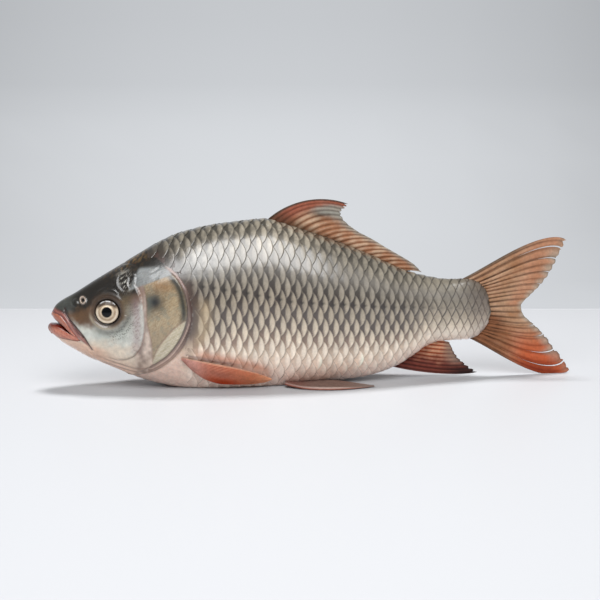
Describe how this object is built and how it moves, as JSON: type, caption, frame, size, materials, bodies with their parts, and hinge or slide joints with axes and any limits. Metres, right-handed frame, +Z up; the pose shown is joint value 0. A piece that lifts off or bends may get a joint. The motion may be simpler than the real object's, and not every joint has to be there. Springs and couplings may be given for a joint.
{
  "type": "whole raw fish",
  "caption": "Whole raw carp-like fish lying upright on its belly, with scaled flanks, open mouth, round eyes and spread orange-brown fins.",
  "frame": {"origin": "on the surface the fish rests on, midway between the lips and the tip of the tail, in its plane of symmetry", "axes": "+X from the head to the tail, +Y from its left side to its right side, +Z up from the surface to the back"},
  "size_m": [0.4, 0.0722, 0.138],
  "materials": {
    "scaled_skin": "wet scaled skin, glossy",
    "eye": "clear wet gloss",
    "brown_fin": "damp, satin",
    "red_fin": "damp, satin",
    "grey_fin": "damp, satin"
  },
  "bodies": {
    "root": {"body": "scaled_skin", "eye_left": "eye", "eye_right": "eye", "dorsal_fin": "brown_fin", "anal_fin": "red_fin", "tail_fin": "brown_fin", "pectoral_fin_left": "red_fin", "pectoral_fin_right": "red_fin", "pelvic_fin_left": "grey_fin", "pelvic_fin_right": "grey_fin"}
  },
  "joints": []
}
